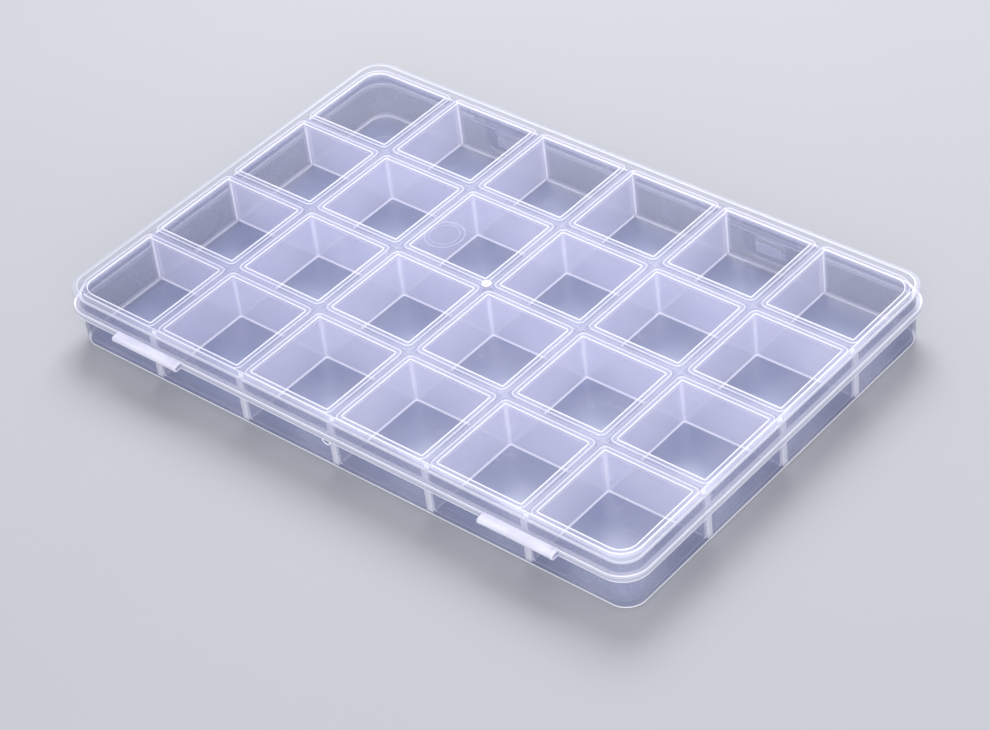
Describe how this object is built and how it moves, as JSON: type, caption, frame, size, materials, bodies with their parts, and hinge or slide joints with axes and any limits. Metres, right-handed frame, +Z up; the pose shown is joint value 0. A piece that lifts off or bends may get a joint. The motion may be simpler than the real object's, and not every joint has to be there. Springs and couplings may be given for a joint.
{
  "type": "parts sorting tray",
  "caption": "Flat translucent box with a hinged lid, fixed square compartments, two folded hinge straps and two windowed snap latches.",
  "frame": {"origin": "centre of the tray's underside, the face that it stands on", "axes": "+X along the long side, +Y from the hinge side to the latch side, +Z up"},
  "size_m": [0.1892, 0.1281, 0.0176],
  "materials": {
    "clear_plastic": "natural translucent polypropylene, gloss moulded",
    "frosted_plastic": "natural polypropylene, fine matt tool finish that looks frosted",
    "hinge_white": "polypropylene whitened by folding"
  },
  "bodies": {
    "tray": {"floor_panel": "clear_plastic", "front_wall": "clear_plastic", "back_wall": "clear_plastic", "left_wall": "clear_plastic", "right_wall": "clear_plastic", "corner_walls": "clear_plastic", "row_divider_front": "frosted_plastic", "row_divider_middle": "frosted_plastic", "row_divider_back": "frosted_plastic", "cross_divider_1": "frosted_plastic", "cross_divider_2": "frosted_plastic", "cross_divider_3": "frosted_plastic", "cross_divider_4": "frosted_plastic", "cross_divider_5": "frosted_plastic", "front_rim": "clear_plastic", "back_rim": "clear_plastic", "left_rim": "clear_plastic", "right_rim": "clear_plastic", "corner_rims": "clear_plastic", "left_catch": "clear_plastic", "right_catch": "clear_plastic", "left_strap_lower_leaf": "hinge_white", "right_strap_lower_leaf": "hinge_white"},
    "lid": {"lid_panel": "clear_plastic", "lid_front_skirt": "clear_plastic", "lid_back_skirt": "clear_plastic", "lid_left_skirt": "clear_plastic", "lid_right_skirt": "clear_plastic", "lid_corner_skirts": "clear_plastic", "lid_rings_row_1": "clear_plastic", "lid_rings_row_2": "clear_plastic", "lid_rings_row_3": "clear_plastic", "lid_rings_row_4": "clear_plastic", "left_strap_upper_leaf": "hinge_white", "right_strap_upper_leaf": "hinge_white"},
    "left_latch": {"left_latch": "clear_plastic"},
    "right_latch": {"right_latch": "clear_plastic"}
  },
  "joints": [
    {"name": "lid_hinge", "type": "hinge", "parent": "tray", "child": "lid", "pos_m": [0, -0.06495, 0.0112], "axis": [1, 0, 0], "range_deg": [0, 180]},
    {"name": "left_latch_flex", "type": "hinge", "parent": "lid", "child": "left_latch", "pos_m": [-0.0443, 0.06235, 0.01172], "axis": [1, 0, 0], "range_deg": [0, 10], "stiffness_Nm_per_rad": 0.05},
    {"name": "right_latch_flex", "type": "hinge", "parent": "lid", "child": "right_latch", "pos_m": [0.0443, 0.06235, 0.01172], "axis": [1, 0, 0], "range_deg": [0, 10], "stiffness_Nm_per_rad": 0.05}
  ]
}
